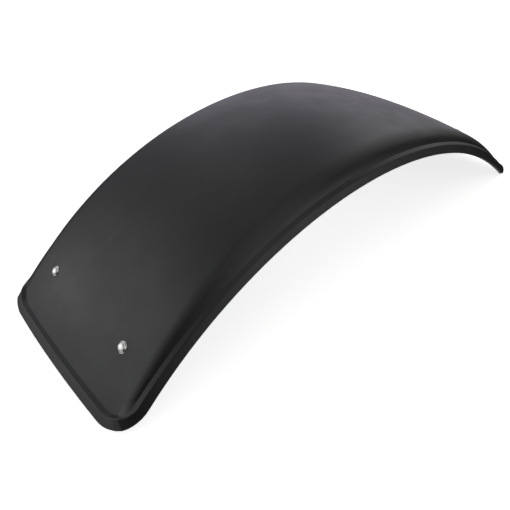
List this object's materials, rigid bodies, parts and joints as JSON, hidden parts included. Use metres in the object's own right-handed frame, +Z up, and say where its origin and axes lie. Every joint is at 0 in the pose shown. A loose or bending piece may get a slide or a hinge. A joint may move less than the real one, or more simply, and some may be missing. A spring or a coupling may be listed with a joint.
{
  "type": "bicycle mudguard",
  "caption": "Short moulded mudguard arched along and across a small wheel, with a raised rim band all round and dome-head bolts near its corners.",
  "frame": {"origin": "under the middle of the arch, at the height of the lowest points that its two ends stand on", "axes": "+X forward along the wheel's travel, +Y left along the wheel's axle, +Z up; the arch is round an axle below the part"},
  "size_m": [0.4348, 0.1692, 0.109],
  "materials": {
    "shell_plastic": "satin black moulded polypropylene, finely grained",
    "bolt_steel": "polished stainless steel dome",
    "washer_steel": "plain stainless steel",
    "nut_steel": "zinc-plated steel",
    "insert_nylon": "natural nylon"
  },
  "bodies": {
    "root": {"shell": "shell_plastic", "bolt_rear_right": "bolt_steel", "washer_rear_right": "washer_steel", "nut_rear_right": "nut_steel", "insert_rear_right": "insert_nylon", "bolt_rear_left": "bolt_steel", "washer_rear_left": "washer_steel", "nut_rear_left": "nut_steel", "insert_rear_left": "insert_nylon", "bolt_front_right": "bolt_steel", "washer_front_right": "washer_steel", "nut_front_right": "nut_steel", "insert_front_right": "insert_nylon", "bolt_front_left": "bolt_steel", "washer_front_left": "washer_steel", "nut_front_left": "nut_steel", "insert_front_left": "insert_nylon"}
  },
  "joints": []
}
